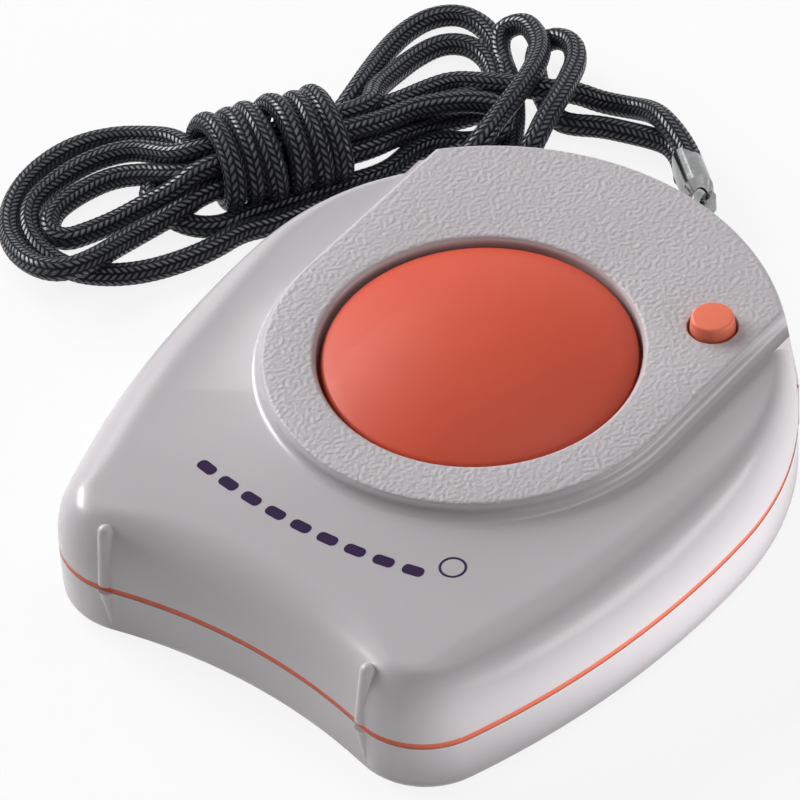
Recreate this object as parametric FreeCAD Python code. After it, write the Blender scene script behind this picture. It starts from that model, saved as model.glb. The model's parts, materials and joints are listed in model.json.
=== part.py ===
import FreeCAD, Part
import math
import os

os.makedirs("parts", exist_ok=True)
V = FreeCAD.Vector

# Wireless panic button on a cord. All sizes in millimetres.
# X runs along the front face, Y to the back where the cord is held, Z up.
# The origin is on the rest face, under the centre of the large button.

# Outline of the housing in plan: four tangent arcs on each side
BACK_R = 34.0
SIDE_R = 100.0
CORNER_R = 8.6
CORNER_X = 19.2
FRONT_R = 66.9
FRONT_Y = -41.3

# Heights
SEAL_Z = 6.4
SEAL_T = 0.8
PLATEAU_Z = 15.0
TOP_Z = 16.8

# Shells
FLOOR_T = 1.8
WALL_U = 1.9
WALL_L = 2.9
LIP_GAP = 0.15
LIP_H = 1.8
ROOF_T = 1.9
EDGE_R = 1.2
SEAL_IN = 0.1
ROLL_W = 6.0
BACK_ROLL = 2.8
ROLL_FADE = (-15.0, 18.0)
EAR_ROLL = 2.9
EAR_SPAN = 6.5
ROLL_N = 2.3
UPPER_DRAFT = 0.25

# Raised platform
PLATFORM_R = 23.44
PLATFORM_FLARE = 1.55
PLATFORM_LIP = 0.7
HEEL = 0.4
HEEL_X = 25.2
HEEL_DRAFT = 1.4

# Large button
OPEN_R = 17.5
OPEN_RIM = 0.75
BUTTON_GAP = 0.45
BUTTON_SINK = 0.8
DOME_H = 3.2
BUTTON_T = 1.6
BUTTON_EDGE = 0.8
FLANGE_W = 1.1
FLANGE_T = 1.0
BOSS_W = 1.5
BOSS_Z = 13.0
STOP_GAP = 0.05

# Small button
SMALL_OUT = 0.462
SMALL_TURN = 42.9
SMALL_R = 2.5
SMALL_TOP_R = 2.3
SMALL_UP = 1.4
SMALL_EDGE = 0.35
SMALL_GAP = 0.25
SMALL_FLANGE = 0.7

# Board, switches and parts on the board
BOARD_T = 1.0
BOARD_IN = 3.3
SWITCH_W = 12.0
SWITCH_H = 3.2
PLUNGER_R = 2.0
PLUNGER_H = 1.3
SMALL_SWITCH_W = 6.0
SMALL_SWITCH_H = 3.6
SMALL_PLUNGER_R = 1.7
SMALL_PLUNGER_H = 1.2
TOUCH = 0.02
SPRING_R = 9.6
SPRING_WIRE = 0.3
SPRING_TOP = 12.4
SPRING_TURNS = 3.5
PANIC_TRAVEL = 0.6
CANCEL_TRAVEL = 0.4
PLUNGER_DEEP = 0.65

# Coin cell and its door in the rest face
CELL_Y = -14.0
CELL_R = 10.0
CELL_T = 3.2
CELL_Z = 2.2
DOOR_R = 12.1
DOOR_GAP = 0.1
DOOR_SINK = 0.2
TAB_OUT = 1.0
TAB_W = 5.0
TAB_T = 0.9
COLLAR_T = 1.2
COLLAR_H = 1.2
UNLOCK_DEG = 40.0
COIN_SLOT = 12.0
COIN_SLOT_W = 2.0

# Case screws: inward of the round back, and beside the centres of the front corners
SCREW_IN = 10.0
SCREW_Y = 10.0
SCREW_BACK = 1.2
SCREW_SIDE = 0.7
SCREW_R = 1.0
HEAD_R = 2.0
HEAD_T = 1.8
HEAD_Z = 1.2
SCREW_LEN = 8.9
BOSS_R = 3.0
UPPER_BOSS_R = 2.7

# Ribs on the front corners
RIB_R = 0.85
RIB_OUT = 0.5
RIB_LEAN = 1.15
RIB_DROP = 1.1

# Cord fittings
LUG_OUT = 4.0
LUG_R = 3.4
LUG_HOLE = 1.6
LUG_Z = 2.4
LUG_T = 3.6
RING_R = 3.0
RING_WIRE = 0.55
RING_DIR = (-0.35, 0.937)
FERRULE_END = V(-8.3, 49.25, 2.75)
FERRULE_W = 3.4
FERRULE_H = 5.0
FERRULE_ROUND = 1.65
FERRULE_NECK = 1.8
CORD_D = 2.7

BOARD_Z = SEAL_Z
BOARD_TOP = BOARD_Z + BOARD_T
BOARD_FRONT = FRONT_Y + BOARD_IN
UPPER_Z = SEAL_Z + SEAL_T
LUG_Y = BACK_R + LUG_OUT
SMALL_FAR = OPEN_R + SMALL_OUT * (BACK_R - OPEN_R)
SMALL_X = SMALL_FAR * math.cos(math.radians(SMALL_TURN))
SMALL_Y = SMALL_FAR * math.sin(math.radians(SMALL_TURN))


def save(node, shape):
    """Write one piece to its own file."""
    if not shape.isValid():
        print("not valid:", node)
    shape.exportStep("parts/%s.step" % node)


def box(x0, x1, y0, y1, z0, z1):
    return Part.makeBox(x1 - x0, y1 - y0, z1 - z0, V(x0, y0, z0))


def disc(r, z0, z1, x=0.0, y=0.0):
    return Part.makeCylinder(r, z1 - z0, V(x, y, z0))


def ring(r0, r1, z0, z1, x=0.0, y=0.0):
    return disc(r1, z0, z1, x, y).cut(disc(r0, z0 - 1, z1 + 1, x, y))


def polar(cx, cy, r, a):
    return (cx + r * math.cos(a), cy + r * math.sin(a))


def outline_centres():
    """Centres of the arcs on the right side and the angles where they meet."""
    fy = FRONT_Y - FRONT_R
    py = fy + math.sqrt((FRONT_R + CORNER_R) ** 2 - CORNER_X ** 2)
    px = CORNER_X
    d0 = SIDE_R - BACK_R
    d1 = SIDE_R - CORNER_R
    p2 = px * px + py * py
    k = (d0 * d0 + p2 - d1 * d1) / 2
    root = math.sqrt(d0 * d0 * p2 - k * k)
    sx = (k * px + py * root) / p2
    sy = (k * py - px * root) / p2
    back_side = math.atan2(-sy, -sx)
    side_corner = math.atan2(py - sy, px - sx)
    corner_front = math.atan2(fy - py, -px)
    front_start = math.atan2(py - fy, px)
    return sx, sy, px, py, fy, back_side, side_corner, corner_front, front_start


def screw_places():
    """Two screws beside the large button and two in the front corners."""
    px, py = outline_centres()[2:4]
    rear, front, low = BACK_R - SCREW_IN, px - SCREW_SIDE, py + SCREW_BACK
    return [(rear, SCREW_Y), (-rear, SCREW_Y), (front, low), (-front, low)]


SCREWS = screw_places()


def outline_wire(inset, z):
    """The outline moved inward by inset, as eight tangent arcs."""
    sx, sy, px, py, fy, a0, a1, a2, e0 = outline_centres()
    right = [(sx, sy, SIDE_R - inset, a0, a1), (px, py, CORNER_R - inset, a1, a2)]
    arcs = [(0.0, 0.0, BACK_R - inset, math.pi - a0, a0)]
    arcs += right
    arcs += [(0.0, fy, FRONT_R + inset, e0, math.pi - e0)]
    arcs += [(-cx, cy, r, math.pi - t1, math.pi - t0) for cx, cy, r, t0, t1 in reversed(right)]
    edges = []
    for cx, cy, r, t0, t1 in arcs:
        p = [polar(cx, cy, r, t) for t in (t0, (t0 + t1) / 2, t1)]
        edges.append(Part.Arc(*[V(x, y, z) for x, y in p]).toShape())
    return Part.Wire(edges)


def slab(inset, z0, z1):
    return Part.Face(outline_wire(inset, z0)).extrude(V(0, 0, z1 - z0))


def outline_points(inset_at):
    """Points round the outline, each moved inward by inset_at(x, y)."""
    sx, sy, px, py, fy, a0, a1, a2, e0 = outline_centres()
    half = math.pi / 2
    spans = [
        (0.0, 0.0, BACK_R, half, a0, 1, 28),
        (sx, sy, SIDE_R, a0, a1, 1, 14),
        (px, py, CORNER_R, a1, a2, 1, 16),
        (0.0, fy, FRONT_R, e0, half, -1, 16),
    ]
    pts = []
    for cx, cy, r, t0, t1, side, n in spans:
        for i in range(n):
            t = t0 + (t1 - t0) * i / n
            x, y = polar(cx, cy, r, t)
            m = inset_at(x, y) * side
            pts.append((x - m * math.cos(t), y - m * math.sin(t)))
    pts.append((0.0, FRONT_Y + inset_at(0.0, FRONT_Y)))
    return pts + [(-x, y) for x, y in pts[-2:0:-1]]


def roll_width(x, y):
    """Width of the soft shoulder: narrow at the front corners and towards the back."""
    px, py = outline_centres()[2:4]
    d = math.hypot(abs(x) - px - 1.3, y - py + 4.8)
    k = math.exp(-((d / EAR_SPAN) ** 2))
    start, end = ROLL_FADE
    s = min(1.0, max(0.0, (y - start) / (end - start)))
    wide = ROLL_W + (BACK_ROLL - ROLL_W) * s * s * (3 - 2 * s)
    return wide + (EAR_ROLL - wide) * k


def soft_body(top, extra):
    """The body with its rolled shoulder, from the seal face up to top."""
    wires = []
    for f in (0.0, 0.2, 0.4, 0.58, 0.73, 0.85, 0.93, 0.98, 1.0):
        def inset_at(x, y):
            drop = 1 - (1 - f ** ROLL_N) ** (1 / ROLL_N)
            return extra + UPPER_DRAFT * f + roll_width(x, y) * drop
        z = UPPER_Z + (top - UPPER_Z) * f
        curve = Part.BSplineCurve()
        curve.interpolate([V(x, y, z) for x, y in outline_points(inset_at)], True)
        wires.append(Part.Wire([curve.toShape()]))
    return Part.makeLoft(wires, True, False)


def platform_profile():
    """Section of the platform's edge from its axis outward, at Y = 0."""
    r = PLATFORM_R
    lip = PLATFORM_LIP
    foot = r + PLATFORM_FLARE
    mid = (TOP_Z + PLATEAU_Z) / 2
    c = math.cos(math.pi / 4)
    pts = [
        V(0, 0, UPPER_Z), V(r + 1.8, 0, UPPER_Z), V(foot, 0, PLATEAU_Z),
        V(r + lip * 0.36, 0, mid + 0.1), V(r - lip, 0, TOP_Z), V(0, 0, TOP_Z),
    ]
    run = foot - pts[3].x
    foot_mid = V(pts[3].x + run * (1 - c) * 0.8, 0, mid + 0.1 - (mid + 0.1 - PLATEAU_Z) * c)
    lip_mid = V(r - lip + (pts[3].x - r + lip) * c, 0, TOP_Z - (TOP_Z - mid - 0.1) * (1 - c))
    edges = [
        Part.LineSegment(pts[0], pts[1]).toShape(),
        Part.LineSegment(pts[1], pts[2]).toShape(),
        Part.Arc(pts[2], foot_mid, pts[3]).toShape(),
        Part.Arc(pts[3], lip_mid, pts[4]).toShape(),
        Part.LineSegment(pts[4], pts[5]).toShape(),
        Part.LineSegment(pts[5], pts[0]).toShape(),
    ]
    return Part.Face(Part.Wire(edges))


def platform_block():
    """Half round at the front with two straight sides running out to the back."""
    face = platform_profile()
    front = face.revolve(V(0, 0, 0), V(0, 0, 1), -180)
    right = face.extrude(V(0, BACK_R + 5, 0))
    left = right.mirror(V(0, 0, 0), V(1, 0, 0))
    return front.fuse([right, left]).removeSplitter()


def heel_wall(r0, r1, z0, z1, edge):
    """Round back wall, r0 at the bottom and r1 at the top, with a rounded top edge."""
    body = Part.makeCone(r0, r1, z1 - z0, V(0, 0, z0))
    rims = [e for e in body.Edges if e.BoundBox.ZMin > z1 - 1e-6]
    return body.makeFillet(edge, rims)


def rib(sign, z0, z1, lean, up):
    """Half-round upright bead on a front corner with a rounded end."""
    sx, sy, px, py, fy, a0, a1, a2, e0 = outline_centres()
    x, y = polar(0.0, fy, FRONT_R, e0)
    nx, ny = -math.cos(e0), -math.sin(e0)
    deep = RIB_R - RIB_OUT
    z0 += RIB_R * lean / (z1 - z0)
    foot = V(sign * (x - nx * deep), y - ny * deep, z0)
    head = V(sign * (x - nx * (deep + lean)), y - ny * (deep + lean), z1)
    bead = Part.makeCylinder(RIB_R, (head - foot).Length, foot, head - foot)
    return bead.fuse(Part.makeSphere(RIB_R, head if up else foot))


def make_upper_shell():
    wing = soft_body(PLATEAU_Z, 0.0)
    wall = heel_wall(BACK_R + HEEL, BACK_R + HEEL - HEEL_DRAFT, UPPER_Z, TOP_Z, PLATFORM_LIP)
    body = wing.fuse(wall.common(platform_block())).removeSplitter()
    for sign in (1, -1):
        body = body.fuse(rib(sign, UPPER_Z, PLATEAU_Z - RIB_DROP, RIB_LEAN, True))
    hollow = soft_body(PLATEAU_Z - ROOF_T, WALL_U)
    pocket_r = PLATFORM_R - 1.4
    pocket = disc(pocket_r, PLATEAU_Z - 4, TOP_Z - ROOF_T - 0.1)
    pocket = pocket.fuse(box(-pocket_r, pocket_r, 0, BACK_R, PLATEAU_Z - 4, TOP_Z - ROOF_T - 0.1))
    pocket = pocket.common(disc(BACK_R - 3.8, 0, TOP_Z))
    body = body.cut(hollow).cut(pocket)
    body = body.fuse(ring(OPEN_R, OPEN_R + BOSS_W, BOSS_Z, TOP_Z - ROOF_T))
    for x, y in SCREWS:
        body = body.fuse(disc(UPPER_BOSS_R, BOARD_TOP + STOP_GAP, PLATEAU_Z - ROOF_T + 0.2, x, y))
    body = body.cut(rim_cutter(OPEN_R, OPEN_RIM, BOSS_Z - 1))
    small = rim_cutter(SMALL_R + SMALL_GAP, 0.2, BOSS_Z - 1)
    small.translate(V(SMALL_X, SMALL_Y, 0))
    body = body.cut(small)
    for x, y in SCREWS:
        body = body.cut(disc(SCREW_R - 0.05, BOARD_TOP - 1, PLATEAU_Z - ROOF_T - 0.7, x, y))
    return body


def rim_cutter(r, rim, z0):
    """Round hole with a rounded mouth in the platform."""
    c = rim * math.cos(math.pi / 4)
    a, b, d = V(r, 0, TOP_Z - rim), V(r + rim - c, 0, TOP_Z - rim + c), V(r + rim, 0, TOP_Z)
    edges = [
        Part.LineSegment(V(0, 0, z0), V(r, 0, z0)).toShape(),
        Part.LineSegment(V(r, 0, z0), a).toShape(),
        Part.Arc(a, b, d).toShape(),
        Part.LineSegment(d, V(r + rim, 0, TOP_Z + 1)).toShape(),
        Part.LineSegment(V(r + rim, 0, TOP_Z + 1), V(0, 0, TOP_Z + 1)).toShape(),
        Part.LineSegment(V(0, 0, TOP_Z + 1), V(0, 0, z0)).toShape(),
    ]
    return Part.Face(Part.Wire(edges)).revolve(V(0, 0, 0), V(0, 0, 1), 360)


def bottom_rounded(body):
    rims = [e for e in body.Edges if e.BoundBox.ZMax < 1e-6]
    return body.makeFillet(EDGE_R, rims)


def make_lower_shell():
    body = bottom_rounded(slab(0.0, 0.0, SEAL_Z))
    heel = bottom_rounded(disc(BACK_R + HEEL, 0.0, SEAL_Z))
    body = body.fuse(heel.common(box(-HEEL_X, HEEL_X, BACK_R / 2, BACK_R + 5, 0, SEAL_Z)))
    lip_in = WALL_U + LIP_GAP
    body = body.fuse(slab(lip_in, SEAL_Z, SEAL_Z + LIP_H))
    for sign in (1, -1):
        body = body.fuse(rib(sign, EDGE_R, SEAL_Z, 0.0, False))
    body = body.cut(slab(WALL_L, FLOOR_T, SEAL_Z + LIP_H + 1))
    for x, y in SCREWS:
        body = body.fuse(disc(BOSS_R, FLOOR_T, BOARD_Z, x, y))
    collar_in = DOOR_R + DOOR_GAP + TAB_OUT + DOOR_GAP
    body = body.fuse(ring(collar_in, collar_in + COLLAR_T, FLOOR_T, FLOOR_T + COLLAR_H, 0, CELL_Y))
    body = body.fuse(make_lug())
    body = body.cut(disc(DOOR_R + DOOR_GAP, -1, FLOOR_T + 0.01, 0, CELL_Y))
    slot = box(0, collar_in, -TAB_W / 2 - DOOR_GAP, TAB_W / 2 + DOOR_GAP, -1, FLOOR_T)
    for a in (UNLOCK_DEG, UNLOCK_DEG + 180):
        notch = slot.copy()
        notch.rotate(V(0, 0, 0), V(0, 0, 1), a)
        notch.translate(V(0, CELL_Y, 0))
        body = body.cut(notch.common(disc(collar_in, -1, FLOOR_T, 0, CELL_Y)))
    for x, y in SCREWS:
        body = body.cut(disc(SCREW_R + 0.15, -1, BOARD_Z + 1, x, y))
        body = body.cut(disc(HEAD_R + 0.3, -1, HEAD_Z + HEAD_T, x, y))
    return body


def make_lug():
    """Tab on the back of the lower shell with an upright hole for the ring."""
    tab = box(-LUG_R, LUG_R, BACK_R - 0.8, LUG_Y, LUG_Z, LUG_Z + LUG_T)
    tab = tab.fuse(disc(LUG_R, LUG_Z, LUG_Z + LUG_T, 0, LUG_Y)).removeSplitter()
    rims = [e for e in tab.Edges if e.Length > 4 and abs(e.BoundBox.ZLength) < 1e-6
            and e.BoundBox.YMax > BACK_R + 1]
    tab = tab.makeFillet(0.6, rims)
    return tab.cut(disc(LUG_HOLE, 0, UPPER_Z, 0, LUG_Y))


def make_seal():
    body = slab(SEAL_IN, SEAL_Z, UPPER_Z)
    back = disc(BACK_R + HEEL - SEAL_IN, SEAL_Z, UPPER_Z)
    body = body.fuse(back.common(box(-HEEL_X + 0.2, HEEL_X - 0.2, BACK_R / 2, BACK_R + 5, 0, TOP_Z)))
    return body.cut(slab(WALL_U + 0.05, SEAL_Z - 1, UPPER_Z + 1)).removeSplitter()


def dome_face(r, edge_z, top_z, low):
    """Half section under a round dome: axis, dome arc, outer side, flat foot."""
    h = top_z - edge_z
    big = (r * r + h * h) / (2 * h)
    a = math.asin(r / big) / 2
    mid = V(big * math.sin(a), 0, top_z - big * (1 - math.cos(a)))
    edges = [
        Part.Arc(V(0, 0, top_z), mid, V(r, 0, edge_z)).toShape(),
        Part.LineSegment(V(r, 0, edge_z), V(r, 0, low)).toShape(),
        Part.LineSegment(V(r, 0, low), V(0, 0, low)).toShape(),
        Part.LineSegment(V(0, 0, low), V(0, 0, top_z)).toShape(),
    ]
    return Part.Face(Part.Wire(edges))


def make_button():
    r = OPEN_R - BUTTON_GAP
    edge_z = TOP_Z - BUTTON_SINK
    low = BOSS_Z - STOP_GAP - FLANGE_T
    axis = (V(0, 0, 0), V(0, 0, 1), 360)
    body = dome_face(r, edge_z, edge_z + DOME_H, low).revolve(*axis)
    rims = [e for e in body.Edges if abs(e.BoundBox.ZMin - edge_z) < 1e-4
            and abs(e.BoundBox.ZMax - edge_z) < 1e-4]
    body = body.makeFillet(BUTTON_EDGE, rims)
    inner_z = edge_z - BUTTON_T
    inner = dome_face(r - BUTTON_T, inner_z, inner_z + DOME_H, low - 1).revolve(*axis)
    body = body.cut(inner)
    body = body.fuse(ring(r - BUTTON_T, r + FLANGE_W, low, low + FLANGE_T))
    roof = dome_face(r - BUTTON_T + 0.2, inner_z + 0.2, inner_z + DOME_H + 0.2, 0).revolve(*axis)
    post_z = BOARD_TOP + SWITCH_H + PLUNGER_H + TOUCH
    post = disc(PLUNGER_R + 0.6, post_z, TOP_Z + 2)
    seat = ring(SPRING_R - 1.0, SPRING_R + 1.0, SPRING_TOP, TOP_Z + 2)
    body = body.fuse(post.fuse(seat).common(roof))
    return body.removeSplitter()


def make_small_button():
    flange_top = TOP_Z - ROOF_T - 0.1 - STOP_GAP * 2
    stem_z = BOARD_TOP + SMALL_SWITCH_H + SMALL_PLUNGER_H + TOUCH
    top = TOP_Z + SMALL_UP
    cap = Part.makeCone(SMALL_R, SMALL_TOP_R, top - TOP_Z + 0.3, V(0, 0, TOP_Z - 0.3))
    rims = [e for e in cap.Edges if e.BoundBox.ZMin > top - 1e-6]
    cap = cap.makeFillet(SMALL_EDGE, rims)
    body = cap.fuse(disc(SMALL_R, flange_top - 1.0, TOP_Z - 0.3))
    body = body.fuse(disc(SMALL_R + SMALL_FLANGE, flange_top - 1.0, flange_top))
    body = body.fuse(disc(SMALL_PLUNGER_R - 0.3, stem_z, flange_top - 1.0)).removeSplitter()
    body.translate(V(SMALL_X, SMALL_Y, 0))
    return body


def make_switch(w, h, x, y, turn, plunger_r, travel):
    """Push switch body with a raised collar and four feet on the board."""
    z = BOARD_TOP
    body = box(-w / 2, w / 2, -w / 2, w / 2, z + 0.2, z + h - 0.5)
    uprights = [e for e in body.Edges if e.BoundBox.ZLength > 1]
    body = body.makeFillet(0.5, uprights)
    body = body.fuse(box(-w / 2 + 0.3, w / 2 - 0.3, -w / 2 + 0.3, w / 2 - 0.3, z, z + h - 0.2))
    body = body.fuse(ring(plunger_r + 0.06, plunger_r + 0.8, z + h - 0.2, z + h))
    body = body.cut(disc(plunger_r + 0.06, z + h - PLUNGER_DEEP - travel - 0.1, z + h + 1))
    for sx in (-1, 1):
        for sy in (-1, 1):
            foot = box(0, 0.9, -0.35, 0.35, z, z + 0.8)
            foot.translate(V(w / 2 - 0.1 if sx > 0 else -w / 2 - 0.8, sy * w * 0.38, 0))
            body = body.fuse(foot)
    body.rotate(V(0, 0, 0), V(0, 0, 1), turn)
    body.translate(V(x, y, 0))
    return body


def make_plunger(r, h, switch_h, x, y):
    z = BOARD_TOP + switch_h
    body = disc(r, z - PLUNGER_DEEP, z + h, x, y)
    rims = [e for e in body.Edges if e.BoundBox.ZMin > z + h - 1e-6]
    return body.makeFillet(0.25, rims)


def make_spring():
    """Closed and ground coil spring between the board and the button."""
    flat = SPRING_WIRE * 1.6
    low = BOARD_TOP + SPRING_WIRE + 0.04
    high = SPRING_TOP - SPRING_WIRE - 0.04
    helix = Part.makeHelix((high - low) / SPRING_TURNS, high - low, SPRING_R)
    helix.translate(V(0, 0, low))
    edge = helix.Edges[0]
    start = edge.valueAt(edge.FirstParameter)
    way = edge.tangentAt(edge.FirstParameter)
    section = Part.Wire([Part.Circle(start, way, SPRING_WIRE).toShape()])
    body = Part.Wire(helix.Edges).makePipeShell([section], True, True)
    inner, outer = SPRING_R - SPRING_WIRE * 1.1, SPRING_R + SPRING_WIRE * 1.1
    ends = [ring(inner, outer, z, z + flat) for z in (BOARD_TOP, SPRING_TOP - flat)]
    return body.fuse(ends)


def make_board():
    body = slab(BOARD_IN, BOARD_Z, BOARD_TOP)
    for x, y in SCREWS:
        body = body.cut(disc(SCREW_R + 0.3, BOARD_Z - 1, BOARD_TOP + 1, x, y))
    return body


def make_cell():
    low, high = CELL_Z, CELL_Z + CELL_T
    can = disc(CELL_R, low, high - 0.25)
    rims = [e for e in can.Edges if e.BoundBox.ZMax < low + 1e-6]
    can = can.makeFillet(0.4, rims)
    cap = disc(CELL_R - 1.3, high - 0.25, high)
    body = can.fuse(cap)
    body.translate(V(0, CELL_Y, 0))
    return body


def make_cell_holder():
    """Ring under the board round the cell, slotted for the side contact."""
    low = FLOOR_T + TAB_T + 0.2
    body = ring(CELL_R + 0.15, CELL_R + 1.4, low, BOARD_Z, 0, CELL_Y)
    slot = box(CELL_R - 1, CELL_R + 3, CELL_Y - 2.3, CELL_Y + 2.3, low - 1, BOARD_Z + 1)
    return body.cut(slot)


def make_top_contact():
    """Bowed leaf from the board down to the cell."""
    z_cell = CELL_Z + CELL_T + TOUCH
    t = 0.2
    reach = 6.0
    low = Part.Arc(V(-reach, 0, BOARD_Z - t), V(0, 0, z_cell), V(reach, 0, BOARD_Z - t)).toShape()
    high = Part.Arc(V(reach, 0, BOARD_Z), V(0, 0, z_cell + t), V(-reach, 0, BOARD_Z)).toShape()
    ends = [
        Part.LineSegment(V(reach, 0, BOARD_Z - t), V(reach, 0, BOARD_Z)).toShape(),
        Part.LineSegment(V(-reach, 0, BOARD_Z), V(-reach, 0, BOARD_Z - t)).toShape(),
    ]
    leaf = Part.Face(Part.Wire([low, ends[0], high, ends[1]])).extrude(V(0, 4.0, 0))
    leaf.translate(V(0, CELL_Y - 2.0, 0))
    return leaf


def make_side_contact():
    """Upright leaf against the rim of the cell with a foot on the board."""
    x = CELL_R + TOUCH
    body = box(x, x + 0.25, CELL_Y - 2, CELL_Y + 2, CELL_Z + 0.9, BOARD_Z)
    foot = box(x, x + 3.0, CELL_Y - 2, CELL_Y + 2, BOARD_Z - 0.25, BOARD_Z)
    return body.fuse(foot).removeSplitter()


def make_door():
    """Round door turned with a coin: disc, inner rim, two locking tabs, coin slot."""
    body = disc(DOOR_R, DOOR_SINK, FLOOR_T)
    rims = [e for e in body.Edges if e.BoundBox.ZMax < DOOR_SINK + 1e-6]
    body = body.makeFillet(0.3, rims)
    tab_top = FLOOR_T + STOP_GAP + TAB_T
    body = body.fuse(ring(DOOR_R - 1.0, DOOR_R, FLOOR_T, tab_top))
    body = body.fuse(disc(CELL_R - 1.5, FLOOR_T, CELL_Z - STOP_GAP))
    arm = box(-DOOR_R - TAB_OUT, DOOR_R + TAB_OUT, -TAB_W / 2, TAB_W / 2,
              FLOOR_T + STOP_GAP, tab_top)
    arm = arm.common(ring(DOOR_R - 0.5, DOOR_R + TAB_OUT, 0, TOP_Z))
    body = body.fuse(arm)
    half, wide = COIN_SLOT / 2, COIN_SLOT_W / 2
    slot = box(-half, half, -wide, wide, -1, DOOR_SINK + 0.8)
    slot = slot.fuse([disc(wide, -1, DOOR_SINK + 0.8, s * half) for s in (-1, 1)])
    body = body.cut(slot).removeSplitter()
    body.translate(V(0, CELL_Y, 0))
    return body


def make_screws():
    screws = []
    for x, y in SCREWS:
        top = HEAD_Z + HEAD_T
        head = disc(HEAD_R, HEAD_Z, top)
        rims = [e for e in head.Edges if e.BoundBox.ZMax < HEAD_Z + 1e-6]
        head = head.makeFillet(0.6, rims)
        for a in (0, 90):
            arm = box(-1.1, 1.1, -0.25, 0.25, HEAD_Z - 1, HEAD_Z + 0.9)
            arm.rotate(V(0, 0, 0), V(0, 0, 1), a)
            head = head.cut(arm)
        shank = disc(SCREW_R, top, top + SCREW_LEN - 0.8)
        tip = Part.makeCone(SCREW_R, 0.3, 0.8, V(0, 0, top + SCREW_LEN - 0.8))
        screw = head.fuse([shank, tip])
        screw.translate(V(x, y, 0))
        screws.append(screw)
    return Part.makeCompound(screws)


def make_controller():
    """Small outline package with seven leads a side."""
    z = BOARD_TOP
    body = box(-4.35, 4.35, -1.95, 1.95, z + 0.15, z + 1.55)
    top = [e for e in body.Edges if e.BoundBox.ZMin > z + 1.5]
    body = body.makeChamfer(0.25, top)
    body = body.cut(disc(0.4, z + 1.45, z + 2, -3.6, -1.2))
    for i in range(7):
        x = (i - 3) * 1.27
        for s in (-1, 1):
            y0, y1 = sorted((s * 1.9, s * 3.0))
            body = body.fuse(box(x - 0.2, x + 0.2, y0, y1, z, z + 0.5))
    body.translate(V(-1.0, BOARD_FRONT + 9.5, 0))
    return body


def make_resonator():
    """Round metal can of the radio resonator."""
    z = BOARD_TOP
    can = disc(4.2, z, z + 3.2)
    rims = [e for e in can.Edges if e.BoundBox.ZMin > z + 3.1]
    can = can.makeFillet(0.5, rims).fuse(disc(4.65, z, z + 0.45))
    can.translate(V(-13.5, BOARD_FRONT + 11.5, 0))
    return can


def make_crystal():
    z = BOARD_TOP
    can = box(-4.9, 4.9, -1.9, 1.9, z, z + 3.3)
    uprights = [e for e in can.Edges if e.BoundBox.ZLength > 3]
    can = can.makeFillet(1.85, uprights)
    rims = [e for e in can.Edges if e.BoundBox.ZMin > z + 3.2]
    can = can.makeFillet(0.4, rims)
    can.translate(V(12.8, BOARD_FRONT + 10.0, 0))
    return can


def make_chips():
    """Chip capacitors and resistors on the board."""
    row = BOARD_FRONT + 5.0
    places = [(-8, row, 0), (-5, row, 0), (6, row, 0), (9, row + 0.4, 90), (22, -12, 90),
              (22, -8, 90), (-22, -12, 90), (-22, -8, 90), (12, 24, 0), (8, 25, 0)]
    chips = []
    for x, y, a in places:
        chip = box(-1.0, 1.0, -0.6, 0.6, BOARD_TOP, BOARD_TOP + 0.7)
        chip.rotate(V(0, 0, 0), V(0, 0, 1), a)
        chip.translate(V(x, y, 0))
        chips.append(chip)
    return Part.makeCompound(chips)


def tube(points, radius, name):
    """Round bar through straight runs joined by tangent arcs."""
    edges = []
    start = points[0]
    smallest = None
    for i in range(1, len(points) - 1):
        before = points[i - 1] - points[i]
        after = points[i + 1] - points[i]
        run = min(before.Length, after.Length)
        before.normalize()
        after.normalize()
        half = (math.pi - before.getAngle(after)) / 2
        step = 0.45 * run
        bend = step / math.tan(half)
        smallest = bend if smallest is None else min(smallest, bend)
        a = points[i] + before * step
        b = points[i] + after * step
        mid_way = before + after
        mid_way.normalize()
        reach = bend / math.cos(half) - bend
        edges.append(Part.LineSegment(start, a).toShape())
        edges.append(Part.Arc(a, points[i] + mid_way * reach, b).toShape())
        start = b
    edges.append(Part.LineSegment(start, points[-1]).toShape())
    path = Part.Wire(edges)
    way = points[1] - points[0]
    section = Part.Wire([Part.Circle(points[0], way, radius).toShape()])
    body = path.makePipeShell([section], True, False)
    expected = math.pi * radius ** 2 * path.Length
    print("%s: smallest bend %.1f, length %.1f, volume ratio %.4f"
          % (name, smallest or 0, path.Length, body.Volume / expected))
    return body


def make_antenna():
    z = BOARD_TOP + 2.6
    near, far = BOARD_FRONT + 1.8, BOARD_FRONT + 2.6
    pts = [V(-13, far, BOARD_TOP), V(-13, far, z), V(-6, near, z), V(6, near, z),
           V(13, far, z), V(13, far, BOARD_TOP)]
    return tube(pts, 0.4, "antenna_loop")


def ring_centre():
    return V(RING_DIR[0] * RING_R, LUG_Y + RING_DIR[1] * RING_R, LUG_Z + LUG_T / 2)


def make_ring():
    normal = V(RING_DIR[1], -RING_DIR[0], 0)
    return Part.makeTorus(RING_R, RING_WIRE, ring_centre(), normal)


def ferrule_axis():
    c = ring_centre()
    eye = V(c.x + RING_DIR[0] * RING_R, c.y + RING_DIR[1] * RING_R, c.z)
    way = FERRULE_END - eye
    length = way.Length
    way.normalize()
    return eye, way, length


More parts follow.
